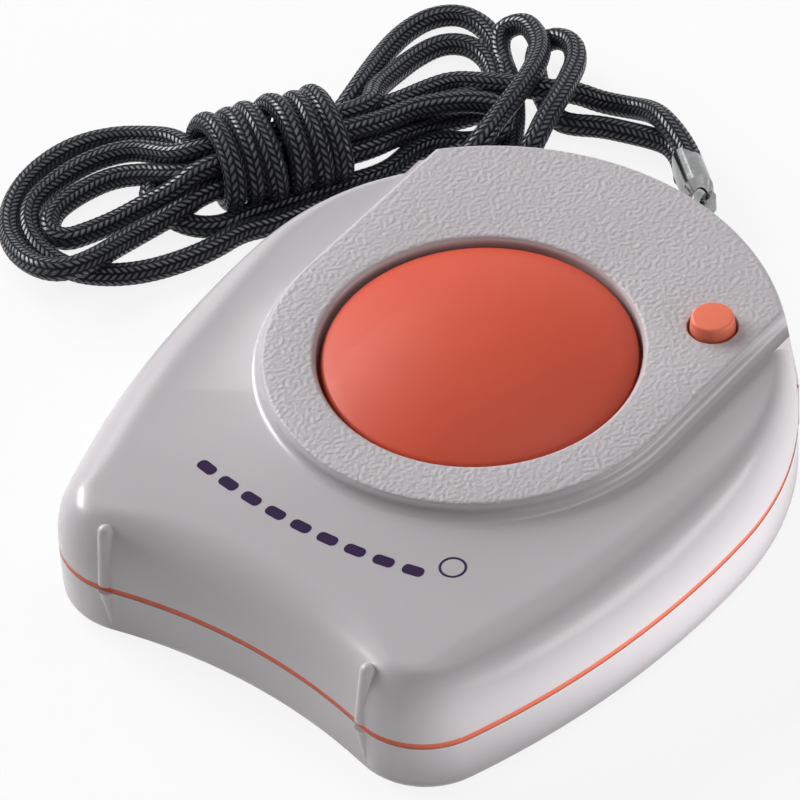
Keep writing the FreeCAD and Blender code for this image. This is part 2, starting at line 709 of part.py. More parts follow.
def rounded_rect(w, h, r, x):
    """Rounded rectangle across the local X axis."""
    a, b, c = w / 2 - r, h / 2 - r, r * math.cos(math.pi / 4)
    edges = []
    for sy, sz in ((1, 1), (-1, 1), (-1, -1), (1, -1)):
        side = V(x, sy * w / 2, sz * b)
        level = V(x, sy * a, sz * h / 2)
        mid = V(x, sy * (a + c), sz * (b + c))
        first, last = (side, level) if sy == sz else (level, side)
        if edges:
            edges.append(Part.LineSegment(end, first).toShape())
        edges.append(Part.Arc(first, mid, last).toShape())
        end = last
    edges.append(Part.LineSegment(end, V(x, w / 2, b)).toShape())
    return Part.Wire(edges)


def make_ferrule():
    """Flat oval sheet sleeve with an eye that hooks over the ring."""
    eye, way, length = ferrule_axis()
    mouth = rounded_rect(FERRULE_W, FERRULE_H, FERRULE_ROUND, FERRULE_NECK)
    sleeve = Part.Face(mouth).extrude(V(length - FERRULE_NECK, 0, 0))
    neck = Part.makeLoft([rounded_rect(1.9, 2.4, 0.6, 0.6), mouth], True, True)
    body = sleeve.fuse(neck).fuse(disc(1.6, -0.8, 0.8))
    body = body.cut(disc(RING_WIRE + 0.35, -3, 3))
    body = body.cut(box(FERRULE_NECK + 0.4, length + 1, -0.2, 0.2, -FERRULE_H, 0.35 - FERRULE_H / 2))
    across = V(0, 0, 1).cross(way)
    across.normalize()
    up = way.cross(across)
    turn = FreeCAD.Matrix(way.x, across.x, up.x, eye.x,
                          way.y, across.y, up.y, eye.y,
                          way.z, across.z, up.z, eye.z,
                          0, 0, 0, 1)
    body.Placement = FreeCAD.Placement(turn)
    return body


def leg_start(side):
    """Where a cord leaves the sleeve: one lies over the other."""
    eye, way, length = ferrule_axis()
    across = V(way.y, -way.x, 0)
    across.normalize()
    end = eye + way * length
    return end + across * (0.25 * side) + V(0, 0, CORD_D / 2 * side)


LEG_FAR = [
    V(-10.6, 51.0, 4.3), V(-13.6, 52.5, 4.3), V(-16.6, 54.2, 3.0), V(-20.0, 54.6, 1.6), V(-23.6, 53.6, 1.4),
    V(-25.8, 52.1, 2.8), V(-28.1, 49.5, 4.0),
]
LEG_NEAR = [
    V(-10.4, 51.0, 1.36), V(-12.6, 52.1, 1.36), V(-14.9, 51.95, 1.36), V(-18.4, 51.0, 1.36),
    V(-21.2, 50.1, 1.4), V(-24.0, 48.5, 1.8), V(-27.0, 47.6, 2.4), V(-30.0, 47.4, 2.6),
]

# Tied hank: far and near edge of each section on the rest plane, and its height
HANK = [
    (-29.6, 57.4, -21.6, 40.4, 4.6), (-35.0, 58.9, -23.0, 36.8, 8.2), (-41.0, 58.9, -28.2, 33.5, 8.4),
    (-47.6, 58.4, -32.0, 31.2, 7.0), (-51.2, 50.0, -33.6, 28.4, 6.4), (-50.0, 39.6, -35.4, 25.4, 8.2),
    (-49.8, 32.0, -37.5, 21.6, 10.9), (-55.4, 24.4, -41.4, 13.6, 10.9), (-60.5, 20.8, -43.0, 6.5, 8.4),
    (-67.5, 18.5, -46.0, -0.8, 6.0), (-71.5, 12.0, -52.0, -7.9, 5.6), (-71.0, 2.0, -60.5, -8.3, 4.4),
]


def make_hank():
    """Outer shape of the tied hank as one solid."""
    wires = []
    for x0, y0, x1, y1, h in HANK:
        across = V(x1 - x0, y1 - y0, 0) / 2
        centre = V((x0 + x1) / 2, (y0 + y1) / 2, 0.05 + h / 2)
        pts = []
        for j in range(16):
            t = 2 * math.pi * j / 16
            pts.append(centre + across * math.cos(t) + V(0, 0, h / 2 * math.sin(t)))
        curve = Part.BSplineCurve()
        curve.interpolate(pts, True)
        wires.append(Part.Wire([curve.toShape()]))
    return Part.makeLoft(wires, True, False)


def make_leg(side, route, name):
    """Cord from the sleeve to where it joins the hank."""
    whole = tube([leg_start(side)] + route, CORD_D / 2, name)
    rest = whole.cut(make_hank())
    return max(rest.Solids, key=lambda part: part.Volume)


save("upper_shell", make_upper_shell())
save("lower_shell", make_lower_shell())
save("seal_ring", make_seal())
save("panic_button", make_button())
save("button_spring", make_spring())
save("panic_switch", make_switch(SWITCH_W, SWITCH_H, 0, 0, 0, PLUNGER_R, PANIC_TRAVEL))
save("panic_plunger", make_plunger(PLUNGER_R, PLUNGER_H, SWITCH_H, 0, 0))
save("cancel_button", make_small_button())
save("cancel_switch", make_switch(SMALL_SWITCH_W, SMALL_SWITCH_H, SMALL_X, SMALL_Y,
                                  SMALL_TURN, SMALL_PLUNGER_R, CANCEL_TRAVEL))
save("cancel_plunger", make_plunger(SMALL_PLUNGER_R, SMALL_PLUNGER_H, SMALL_SWITCH_H, SMALL_X, SMALL_Y))
save("circuit_board", make_board())
save("controller_chip", make_controller())
save("radio_resonator", make_resonator())
save("radio_crystal", make_crystal())
save("chip_parts", make_chips())
save("antenna_loop", make_antenna())
save("coin_cell", make_cell())
save("cell_holder", make_cell_holder())
save("cell_top_contact", make_top_contact())
save("cell_side_contact", make_side_contact())
save("battery_door", make_door())
save("case_screws", make_screws())
save("cord_ring", make_ring())
save("cord_ferrule", make_ferrule())
save("cord_leg_far", make_leg(1, LEG_FAR, "cord_leg_far"))
save("cord_leg_near", make_leg(-1, LEG_NEAR, "cord_leg_near"))
save("cord_hank", make_hank())
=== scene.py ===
import json
import math

import bmesh
import bpy
from bpy.props import FloatProperty, FloatVectorProperty, IntProperty, PointerProperty
from mathutils import Matrix, Vector


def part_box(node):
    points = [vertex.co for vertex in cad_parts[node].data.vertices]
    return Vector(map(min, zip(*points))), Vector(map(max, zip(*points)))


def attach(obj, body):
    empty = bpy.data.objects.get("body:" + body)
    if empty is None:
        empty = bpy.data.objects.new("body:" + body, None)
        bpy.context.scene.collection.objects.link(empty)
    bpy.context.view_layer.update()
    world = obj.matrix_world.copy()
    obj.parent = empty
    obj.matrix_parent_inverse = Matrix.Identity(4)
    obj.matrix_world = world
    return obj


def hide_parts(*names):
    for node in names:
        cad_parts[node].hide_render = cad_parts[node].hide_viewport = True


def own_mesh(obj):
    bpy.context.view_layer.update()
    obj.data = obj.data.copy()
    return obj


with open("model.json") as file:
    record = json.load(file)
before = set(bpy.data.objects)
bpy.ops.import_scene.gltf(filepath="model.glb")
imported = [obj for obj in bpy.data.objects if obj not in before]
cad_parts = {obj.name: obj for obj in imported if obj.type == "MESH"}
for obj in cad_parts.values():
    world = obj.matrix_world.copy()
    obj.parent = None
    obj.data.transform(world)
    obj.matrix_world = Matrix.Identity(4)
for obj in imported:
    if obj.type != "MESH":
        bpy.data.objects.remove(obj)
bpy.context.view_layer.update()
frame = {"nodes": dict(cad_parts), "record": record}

bl_info = {
    "name": "Panic Button",
    "version": (1, 0, 0),
    "blender": (4, 5, 0),
    "location": "View3D > Sidebar > Panic Button",
    "description": "Dresses a pendant alarm button with its neck cord",
    "category": "Object",
}

BODY_OF = {node: body for body, nodes in frame["record"]["behaviour"]["bodies"].items() for node in nodes}
MM = 0.001

# Cord route in millimetres, from the sleeve round the hank and back
UPPER_LEG = [
    (-7.4, 48.8, 4.1), (-8.1, 49.45, 4.1), (-10.6, 51.0, 4.3), (-13.6, 52.5, 4.3), (-16.6, 54.2, 3.0),
    (-20.0, 54.6, 1.6), (-23.6, 53.6, 1.4),
]
ROW_A = [
    (-25.8, 52.1, 2.8), (-28.1, 49.5, 4.0), (-31.6, 47.9, 4.0), (-35.4, 46.5, 3.6), (-38.7, 45.1, 3.2),
    (-40.1, 41.9, 3.4), (-41.0, 38.4, 3.8), (-42.5, 35.4, 4.0), (-43.4, 32.8, 4.0), (-47.3, 27.1, 4.0),
    (-50.8, 22.4, 4.0), (-54.4, 17.8, 4.0),
]
LOOP_A = [
    (-59.0, 19.4, 3.0), (-62.7, 18.7, 2.0), (-66.2, 16.9, 1.5), (-68.8, 13.6, 1.4), (-69.9, 9.5, 1.4),
    (-69.8, 4.8, 1.4), (-68.1, 0.2, 1.4), (-64.9, -3.6, 1.6), (-59.4, -6.6, 3.2), (-54.8, -6.6, 4.2),
    (-53.2, -2.9, 3.8), (-53.2, 2.3, 2.6), (-52.5, 6.7, 2.2), (-50.9, 10.2, 3.0), (-49.8, 13.6, 4.0),
]
ROW_C = [
    (-46.1, 19.2, 4.0), (-42.8, 24.0, 4.0), (-38.9, 29.7, 4.0), (-38.2, 33.7, 3.4), (-37.0, 38.7, 2.2),
    (-35.1, 42.2, 1.5), (-33.7, 45.0, 1.4),
]
ARC_INNER = [
    (-34.6, 48.2, 1.4), (-37.0, 50.9, 1.4), (-39.5, 52.6, 1.4), (-42.7, 53.0, 1.4), (-45.2, 51.3, 1.4),
    (-46.1, 47.4, 1.6), (-45.6, 42.3, 2.6), (-44.6, 38.0, 4.0), (-41.8, 34.1, 5.8), (-45.2, 27.6, 6.3),
    (-49.2, 21.8, 6.3), (-52.6, 17.6, 6.2),
]
LOOP_B = [
    (-55.6, 15.6, 4.9), (-58.9, 15.8, 3.6), (-62.3, 15.2, 2.8), (-65.3, 11.9, 2.2), (-67.0, 7.2, 1.5),
    (-66.9, 2.3, 1.4), (-64.2, -1.2, 1.4), (-60.0, -3.2, 1.4), (-55.5, -3.3, 1.4), (-51.9, -1.6, 1.4),
    (-48.9, 1.1, 1.4), (-46.6, 4.7, 1.4), (-44.9, 8.7, 1.4), (-44.2, 12.6, 1.4),
]
ROW_FRONT = [
    (-42.0, 15.4, 1.4), (-40.0, 19.7, 1.4), (-37.5, 24.5, 1.4), (-34.9, 29.0, 1.4), (-34.7, 32.2, 1.4),
    (-33.5, 35.3, 1.4), (-32.1, 38.2, 1.4), (-29.9, 41.2, 1.4), (-29.8, 44.6, 1.4), (-31.9, 47.3, 1.9),
    (-34.6, 46.0, 2.6), (-36.5, 42.8, 3.2), (-38.1, 39.3, 3.8), (-40.1, 35.6, 4.0), (-41.1, 31.2, 4.0),
    (-45.0, 25.5, 4.0), (-48.3, 20.7, 4.0), (-51.6, 16.6, 4.0),
]
LOOP_C = [
    (-54.6, 14.0, 3.6), (-58.3, 13.4, 2.4), (-61.9, 11.4, 1.6), (-63.6, 7.0, 1.4), (-63.9, 2.8, 1.4),
    (-62.2, 0.1, 1.4), (-59.7, 0.0, 1.4), (-58.1, 3.0, 1.4), (-56.7, 5.9, 1.6), (-55.0, 8.8, 2.6),
    (-52.5, 11.4, 4.2), (-51.0, 14.4, 6.2),
]
ROW_TOP = [
    (-47.0, 20.2, 6.3), (-43.0, 26.1, 6.3), (-40.0, 30.8, 6.2), (-39.0, 33.9, 5.5), (-37.7, 36.9, 5.6),
    (-35.3, 39.6, 5.6), (-32.6, 42.2, 5.3), (-29.9, 43.6, 4.7), (-28.7, 41.2, 2.9), (-31.2, 38.8, 2.0),
    (-34.9, 37.7, 1.5), (-36.5, 34.5, 1.4), (-36.3, 29.9, 1.5), (-39.6, 24.8, 1.4), (-42.3, 20.3, 1.4),
    (-45.6, 15.0, 1.4), (-46.2, 12.4, 1.4), (-48.4, 10.5, 1.4), (-51.1, 9.9, 1.4), (-54.3, 10.2, 1.4),
    (-56.9, 11.4, 1.4), (-57.6, 14.9, 1.5),
]
ARC_OUTER = [
    (-46.6, 37.2, 3.4), (-47.7, 40.5, 2.8), (-49.1, 45.2, 2.0), (-49.9, 50.4, 1.5), (-49.1, 54.4, 1.4),
    (-46.6, 56.9, 1.4), (-42.9, 56.8, 1.4), (-39.4, 54.8, 1.4), (-36.2, 51.9, 1.4), (-33.3, 48.3, 1.4),
    (-31.2, 44.2, 1.4), (-30.1, 40.2, 1.4), (-29.9, 37.0, 1.7),
]
HITCHES = [
    (-28.6, 34.2, 4.4), (-27.4, 36.2, 6.6), (-28.1, 40.5, 6.8), (-28.7, 44.5, 6.8), (-29.9, 49.0, 6.2),
    (-32.0, 53.5, 5.0), (-34.6, 56.3, 4.2), (-37.9, 58.2, 3.5), (-40.4, 56.8, 2.0), (-38.6, 53.8, 1.4),
    (-33.8, 50.1, 1.4), (-30.3, 46.0, 1.4), (-28.0, 42.3, 1.4), (-25.6, 38.9, 1.7), (-22.9, 37.2, 4.2),
    (-22.4, 39.5, 6.3), (-23.5, 42.9, 6.6), (-24.3, 46.3, 6.6), (-25.9, 50.6, 5.8), (-27.8, 54.8, 4.8),
    (-30.6, 57.7, 4.2), (-33.6, 58.05, 3.3), (-35.3, 56.9, 1.7), (-33.0, 53.4, 1.4), (-29.2, 50.2, 1.4),
    (-26.0, 48.2, 1.4),
]
LOWER_LEG = [
    (-24.0, 48.5, 1.4), (-21.2, 50.1, 1.4), (-18.4, 51.0, 1.36), (-14.9, 51.95, 1.36), (-12.6, 52.1, 1.36),
    (-10.4, 51.0, 1.36), (-8.5, 49.05, 1.4), (-7.9, 48.3, 1.45),
]
# The wraps round the bundle in millimetres: both ends of their axis, half width, half height and level
WRAP_START = Vector((-51.6, 15.9))
WRAP_END = Vector((-41.6, 30.5))
WRAP_WIDE = 5.28
WRAP_HIGH = 4.04
WRAP_LEVEL = 5.25
WRAP_TURNS = 6
WRAP_POINTS = 12
WRAP_FIRST_ANGLE = math.radians(-160)

# Printed marks in millimetres: three points of the dashes' arc, the ring's middle and the width of its line
DASH_ARC = [(-13.9, -29.3), (-0.2, -30.5), (13.2, -28.9)]
RING_PLACE = (16.3, -26.2)
RING_LINE = 0.3
PLATEAU_BACK = -27.0

# Heights in metres between which the case's gloss gives way to the platform's grain
GRAIN_FROM = 0.01655
GRAIN_FULL = 0.01675

# How white the world and the table look, directly and in reflections, and how much light the world gives
TABLE_GLOW = 0.86
WORLD_SEEN = 1.0
WORLD_FILL = 0.18


class CaseSettings(bpy.types.PropertyGroup):
    colour: FloatVectorProperty(name="Case colour", description="Colour of the moulded case", subtype="COLOR",
                                size=3, min=0, max=1, default=(0.465, 0.437, 0.455))
    grain: FloatProperty(name="Grain size", description="Size of the fine moulded grain on the platform",
                         default=0.00042, unit="LENGTH", min=0.0001, max=0.002)
    seam: FloatVectorProperty(name="Seal colour", description="Colour of the rubber seal", subtype="COLOR",
                              size=3, min=0, max=1, default=(0.60, 0.125, 0.065))


class ButtonSettings(bpy.types.PropertyGroup):
    colour: FloatVectorProperty(name="Button colour", description="Colour of the large button",
                                subtype="COLOR", size=3, min=0, max=1, default=(0.62, 0.080, 0.039))
    light: FloatVectorProperty(name="Small button colour", description="Colour of the small button",
                               subtype="COLOR", size=3, min=0, max=1, default=(0.86, 0.20, 0.115))
    ink: FloatVectorProperty(name="Ink colour", description="Colour of the printed marks", subtype="COLOR",
                             size=3, min=0, max=1, default=(0.026, 0.008, 0.046))
    dashes: IntProperty(name="Dashes", description="Number of plain dashes printed in front of the button",
                        default=9, min=2, max=30)
    dash_width: FloatProperty(name="Dash width", description="Width of a printed dash", default=0.0014,
                              unit="LENGTH", min=0.0002, max=0.003)
    dash_length: FloatProperty(name="Dash length", description="Length of a printed dash", default=0.0024,
                               unit="LENGTH", min=0.0003, max=0.005)
    ring_size: FloatProperty(name="Ring size", description="Diameter of the printed ring", default=0.0030,
                             unit="LENGTH", min=0.001, max=0.006)
    film: FloatProperty(name="Ink height", description="Height of the printed film above the case",
                        default=0.00002, unit="LENGTH", min=0.000005, max=0.0001)


class CordSettings(bpy.types.PropertyGroup):
    diameter: FloatProperty(name="Cord diameter", description="Diameter of the braided neck cord",
                            default=0.0027, unit="LENGTH", min=0.001, max=0.006)
    stitch: FloatProperty(name="Stitch length", description="Length of one stitch of the braid",
                          default=0.00076, unit="LENGTH", min=0.0002, max=0.002)
    columns: IntProperty(name="Stitch columns", description="Columns of stitches round the cord",
                         default=10, min=4, max=32)
    colour: FloatVectorProperty(name="Cord colour", description="Colour of the yarn", subtype="COLOR",
                                size=3, min=0, max=1, default=(0.024, 0.028, 0.043))


class StageSettings(bpy.types.PropertyGroup):
    azimuth: FloatProperty(name="Azimuth", description="Camera's angle round the button",
                           default=math.radians(40.354), subtype="ANGLE")
    elevation: FloatProperty(name="Elevation", description="Camera's angle above the table",
                             default=math.radians(43.931), subtype="ANGLE")
    roll: FloatProperty(name="Roll", description="Camera's turn about its own line of sight",
                        default=math.radians(-3.947), subtype="ANGLE")
    position: FloatVectorProperty(name="Position", description="Camera's place", subtype="TRANSLATION",
                                  size=3, default=(0.28837, -0.35297, 0.449066))
    lens: FloatProperty(name="Lens", description="Focal length in millimetres", default=264.77,
                        min=10, max=400)


class Socket:
    """A number or colour in a material that takes part in sums."""

    def __init__(self, paint, out):
        self.paint = paint
        self.out = out

    def _sum(self, operation, *values):
        node = self.paint.node("ShaderNodeMath", {"operation": operation}, *values)
        return Socket(self.paint, node.outputs[0])

    def __add__(self, other):
        return self._sum("ADD", self, other)

    __radd__ = __add__

    def __sub__(self, other):
        return self._sum("SUBTRACT", self, other)

    def __rsub__(self, other):
        return self._sum("SUBTRACT", other, self)

    def __mul__(self, other):
        return self._sum("MULTIPLY", self, other)

    __rmul__ = __mul__

    def __truediv__(self, other):
        return self._sum("DIVIDE", self, other)

    def __pow__(self, other):
        return self._sum("POWER", self, other)

    def fract(self):
        return self._sum("FRACT", self)

    def floor(self):
        return self._sum("FLOOR", self)

    def abs(self):
        return self._sum("ABSOLUTE", self)

    def least(self, other):
        return self._sum("MINIMUM", self, other)

    def most(self, other):
        return self._sum("MAXIMUM", self, other)

    def modulo(self, other):
        return self._sum("FLOORED_MODULO", self, other)

    def ramp(self, low, high):
        """0 below low, 1 above high and smooth between them."""
        settings = {"interpolation_type": "SMOOTHSTEP"}
        node = self.paint.node("ShaderNodeMapRange", settings, self, low, high, 0.0, 1.0)
        return Socket(self.paint, node.outputs[0])


class Paint:
    """A material with one principled shader."""

    def __init__(self, name, slot, **constant):
        self.material = bpy.data.materials.new(name)
        self.material.use_nodes = True
        self.slot = slot
        self.tree = self.material.node_tree
        self.tree.nodes.clear()
        self.shader = self.node("ShaderNodeBsdfPrincipled", {})
        self.output = self.tree.nodes.new("ShaderNodeOutputMaterial")
        self.tree.links.new(self.shader.outputs[0], self.output.inputs[0])
        for key, value in constant.items():
            self.shader.inputs[key.replace("_", " ")].default_value = value

    def node(self, kind, settings, *values, **named):
        made = self.tree.nodes.new(kind)
        for key, value in settings.items():
            setattr(made, key, value)
        pairs = list(enumerate(values)) + [(key.replace("_", " "), value) for key, value in named.items()]
        for key, value in pairs:
            if isinstance(value, Socket):
                self.tree.links.new(value.out, made.inputs[key])
            elif value is not None:
                made.inputs[key].default_value = value
        return made

    def point(self):
        """Object coordinates and their three parts."""
        place = self.node("ShaderNodeTexCoord", {})
        where = Socket(self, place.outputs["Object"])
        parts = self.node("ShaderNodeSeparateXYZ", {}, where)
        return where, *[Socket(self, out) for out in parts.outputs]

    def along(self):
        """The piece's own UV map: millimetres along it and share of the way round."""
        lay = self.node("ShaderNodeUVMap", {"uv_map": "lay"})
        parts = self.node("ShaderNodeSeparateXYZ", {}, Socket(self, lay.outputs[0]))
        return Socket(self, parts.outputs[0]), Socket(self, parts.outputs[1])

    def noise(self, where, scale, detail=2.0, rough=0.5):
        made = self.node("ShaderNodeTexNoise", {}, Vector=where, Scale=scale, Detail=detail, Roughness=rough)
        return Socket(self, made.outputs[0])

    def mix(self, factor, a, b):
        """Colour between a and b."""
        made = self.tree.nodes.new("ShaderNodeMix")
        made.data_type = "RGBA"
        for index, value in ((0, factor), (6, a), (7, b)):
            if isinstance(value, Socket):
                self.tree.links.new(value.out, made.inputs[index])
            elif index:
                made.inputs[index].default_value = (*value[:3], 1.0)
            else:
                made.inputs[index].default_value = value
        return Socket(self, made.outputs[2])

    def bump(self, height, depth):
        made = self.node("ShaderNodeBump", {}, Height=height, Distance=depth, Strength=1.0)
        self.feed(Normal=Socket(self, made.outputs[0]))

    def feed(self, **inputs):
        for key, value in inputs.items():
            self.tree.links.new(value.out, self.shader.inputs[key.replace("_", " ")])


def shade(colour, amount):
    return tuple(min(1.0, c * amount) for c in colour)


def case_paint(scene):
    """Pale moulded plastic: glossy shoulders, fine grain on the platform's top."""
    settings = scene.panic_case
    paint = Paint("case_plastic", "case_grey", Specular_IOR_Level=0.5)
    where, _, _, z = paint.point()
    top = z.ramp(GRAIN_FROM, GRAIN_FULL)
    cloud = paint.noise(where, 60.0, 3.0)
    fine = paint.noise(where, 0.8 / settings.grain, 1.0, 0.3)
    tone = cloud * 0.5 + fine * 0.5 * top + 0.25 * (1 - top)
    paint.feed(Base_Color=paint.mix(tone, shade(settings.colour, 0.95), shade(settings.colour, 1.05)))
    paint.feed(Roughness=0.22 + 0.3 * top + 0.06 * cloud)
    skin = paint.noise(where, 900.0, 2.0)
    height = fine * top + skin * 0.02 * (1 - top)
    paint.bump(height, 0.00016)
    return paint


def door_paint(scene):
    """Moulded plastic of the underside with a slight satin grain."""
    settings = scene.panic_case
    paint = Paint("door_plastic", "case_grey", Specular_IOR_Level=0.5)
    where = paint.point()[0]
    cloud = paint.noise(where, 120.0, 3.0)
    fine = paint.noise(where, 1800.0, 2.0)
    paint.feed(Base_Color=paint.mix(cloud, shade(settings.colour, 0.93), shade(settings.colour, 1.0)))
    paint.feed(Roughness=0.45 + 0.1 * fine)
    paint.bump(fine, 0.00002)
    return paint


def orange_paint(name, colour, rough):
    """Smooth orange plastic with very faint moulding clouds."""
    paint = Paint(name, "signal_orange", Specular_IOR_Level=0.25)
    where = paint.point()[0]
    cloud = paint.noise(where, 90.0, 3.0)
    fine = paint.noise(where, 1600.0, 2.0)
    paint.feed(Base_Color=paint.mix(cloud, shade(colour, 0.93), shade(colour, 1.06)))
    paint.feed(Roughness=rough + 0.06 * fine)
    paint.bump(fine, 0.000008)
    return paint


def plain_paint(name, slot, colour, rough, metal=0.0, scale=900.0, depth=0.00001, spread=0.12, shine=0.5):
    """A small part's finish: slight clouds of tone, gloss and surface."""
    paint = Paint(name, slot, Metallic=metal, Specular_IOR_Level=shine)
    where = paint.point()[0]
    cloud = paint.noise(where, scale * 0.2, 3.0)
    fine = paint.noise(where, scale, 3.0)
    paint.feed(Base_Color=paint.mix(cloud, shade(colour, 1 - spread), shade(colour, 1 + spread)))
    paint.feed(Roughness=rough - 0.08 + 0.16 * fine)
    paint.bump(fine, depth)
    return paint


def board_paint():
    """Green solder resist over copper tracks."""
    paint = Paint("board_resist", "board_green")
    where, x, y, _ = paint.point()
    line = ((x * 700 + (y * 220).floor() * 0.5).fract() - 0.5).abs().ramp(0.28, 0.34)
    cross = ((y * 520 + (x * 160).floor() * 0.37).fract() - 0.5).abs().ramp(0.3, 0.36)
    track = line.most(cross)
    tone = paint.mix(track, (0.010, 0.060, 0.024), (0.020, 0.130, 0.050))
    paint.feed(Base_Color=tone)
    paint.feed(Roughness=0.35 + 0.15 * paint.noise(where, 600.0))
    paint.bump(track, 0.00003)
    return paint


def sleeve_paint():
    """Drawn and plated sheet: light rubs on it in tone and gloss, and a fine grain in its surface."""
    paint = Paint("sleeve_plate", "fitting_steel", Metallic=1.0)
    where = paint.point()[0]
    rub = paint.noise(where, 450.0, 4.0, 0.65)
    fine = paint.noise(where, 2600.0, 3.0)
    paint.feed(Base_Color=paint.mix(rub.ramp(0.35, 0.7), (0.24, 0.245, 0.245), (0.34, 0.34, 0.34)))
    paint.feed(Roughness=0.13 + 0.08 * rub)
    paint.bump(fine * 0.5 + rub * 0.5, 0.00002)
    return paint


def braid_height(along, turn, stitch, columns):
    """Height of the braid, 0 in the valleys to 1 on a stitch, from millimetres along and share round.
    Columns lean one way and the other by turns, so pairs of them read as a row of arrow heads."""
    column = turn * columns
    across = column.fract()
    side = column.floor().modulo(2.0) * 2.0 - 1.0
    step = (along / stitch + side * (across - 0.5) * 0.95 + column.floor().modulo(2.0) * 0.5).fract()
    body = 1 - ((step - 0.5).abs() * 2.0) ** 2.2
    edge = 1 - ((across - 0.5).abs() * 2.0) ** 4.0
    return body.most(0.0) * edge.most(0.0)


def cord_paint(scene):
    """Black braided yarn: stitches in leaning columns, fibres in each stitch, shiny crowns; painted shade
    darkens the valleys between stitches and painted light makes the crowns grey.
    """
    settings = scene.panic_cord
    paint = Paint("cord_yarn", "cord_black", Specular_IOR_Level=0.12, Coat_Roughness=0.28, Sheen_Weight=0.04,
                  Sheen_Roughness=0.4)
    where = paint.point()[0]
    along, turn = paint.along()
    height = braid_height(along, turn, settings.stitch / MM, settings.columns)
    fibre = paint.noise(where, 6000.0, 2.0)
    crown = height.ramp(0.5, 0.98)
    tone = crown * (0.6 + 0.8 * fibre)
    # Painted shade and painted light: the valleys get a tenth of the yarn's colour and the crowns 1.4 times
    # it, varied by the fibres.
    painted_valley_shade = shade(settings.colour, 0.10)
    paint.feed(Base_Color=paint.mix(tone.least(1.0), painted_valley_shade, shade(settings.colour, 1.4)))
    paint.feed(Roughness=0.52 - 0.2 * crown)
    paint.feed(Coat_Weight=0.9 * crown)
    paint.bump(height + fibre * 0.16, 0.0003)
    return paint


def mesh_object(name, points, faces, paint, uv=None):
    mesh = bpy.data.meshes.new(name)
    mesh.from_pydata(points, [], faces)
    if uv:
        layer = mesh.uv_layers.new(name="lay")
        for loop in mesh.loops:
            layer.data[loop.index].uv = uv[loop.index]
    mesh.validate()
    for polygon in mesh.polygons:
        polygon.use_smooth = True
    mesh.materials.append(paint.material)
    piece = bpy.data.objects.new(name, mesh)
    bpy.context.scene.collection.objects.link(piece)
    return piece


def dressed(node, paint, crease=32.0):
    """A welded copy of a frame node with smooth shading, which is shown in its place."""
    work = bmesh.new()
    work.from_mesh(frame["nodes"][node].data)
    bmesh.ops.remove_doubles(work, verts=work.verts, dist=1e-6)
    work.verts.index_update()
    points = [tuple(v.co) for v in work.verts]
    faces = [[v.index for v in f.verts] for f in work.faces]
    work.free()
    piece = mesh_object(node + "_look", points, faces, paint)
    piece.data.set_sharp_from_angle(angle=math.radians(crease))
    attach(piece, BODY_OF[node])
    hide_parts(node)
    return piece


def repaint(nodes, paint):
    for node in nodes:
        data = frame["nodes"][node].data
        data.materials.clear()
        data.materials.append(paint.material)


def cord_route():
    """Control points of the whole cord in millimetres: legs, rows, loops and the wraps as a loop of turns."""
    axis = (WRAP_END - WRAP_START).normalized()
    across = Vector((axis.y, -axis.x))
    wraps = []
    total = WRAP_TURNS * WRAP_POINTS
    for i in range(total):
        angle = WRAP_FIRST_ANGLE - 2 * math.pi * i / WRAP_POINTS
        turns = i / WRAP_POINTS
        swell = 1 + 0.09 * math.sin(math.pi * i / total) + 0.045 * math.sin(2.6 * turns + 0.6)
        wide = math.cos(angle) * WRAP_WIDE * swell
        high = WRAP_LEVEL + math.sin(angle) * WRAP_HIGH * (swell if math.sin(angle) > 0 else 1)
        drift = 0.012 * math.sin(1.9 * turns) + (0.03 + 0.02 * math.sin(2.2 * turns)) * math.sin(angle)
        middle = WRAP_START.lerp(WRAP_END, 0.02 + 0.89 * i / total + drift)
        spot = middle + across * wide
        wraps.append((spot.x, spot.y, high))
    return (UPPER_LEG + ROW_A + LOOP_A + ROW_C + ARC_INNER + LOOP_B + ROW_FRONT + LOOP_C + ROW_TOP + wraps
            + ARC_OUTER + HITCHES + LOWER_LEG)


def spline_points(route, steps):
    """Points read from a NURBS spline that has the route as its control points."""
    curve = bpy.data.curves.new("cord_route", "CURVE")
    curve.dimensions = "3D"
    spline = curve.splines.new("NURBS")
    spline.points.add(len(route) - 1)
    for point, place in zip(spline.points, route):
        point.co = (*[v * MM for v in place], 1.0)
    spline.order_u = 3
    spline.use_endpoint_u = True
    spline.resolution_u = steps
    holder = bpy.data.objects.new("cord_route", curve)
    bpy.context.scene.collection.objects.link(holder)
    bpy.context.view_layer.update()
    line = bpy.data.meshes.new_from_object(holder)
    points = [v.co.copy() for v in line.vertices]
    bpy.data.objects.remove(holder)
    bpy.data.meshes.remove(line)
    bpy.data.curves.remove(curve)
    return points


